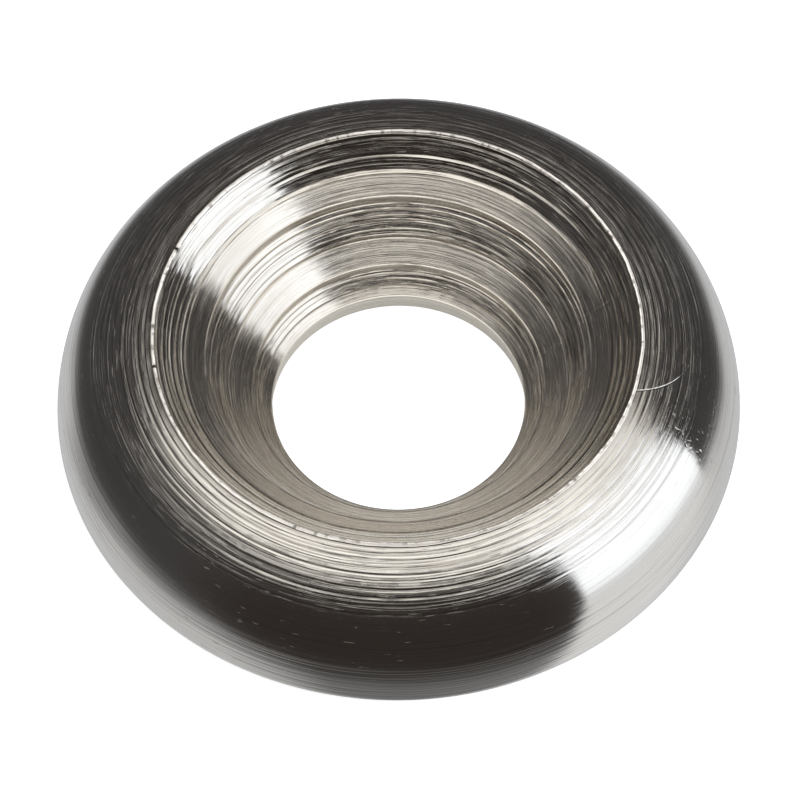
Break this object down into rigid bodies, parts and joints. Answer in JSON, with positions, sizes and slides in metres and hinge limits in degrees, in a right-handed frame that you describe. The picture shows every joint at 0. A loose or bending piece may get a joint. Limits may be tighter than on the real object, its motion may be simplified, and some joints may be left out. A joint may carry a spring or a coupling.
{
  "type": "screw cup washer",
  "caption": "Turned cup washer with a rounded outside, a sharp crest and a conical seat over a clearance bore, which takes the head of a countersunk screw.",
  "frame": {"origin": "centre of the bore in the plane of the flat underside", "axes": "+Z along the bore's axis, from the underside to the crest; the part is round, so X and Y are free"},
  "size_m": [0.0142, 0.0142, 0.003],
  "materials": {
    "nickel_plated_brass": "bright nickel plate over turned brass, with concentric turning marks"
  },
  "bodies": {
    "root": {"cup_washer": "nickel_plated_brass"}
  },
  "joints": []
}
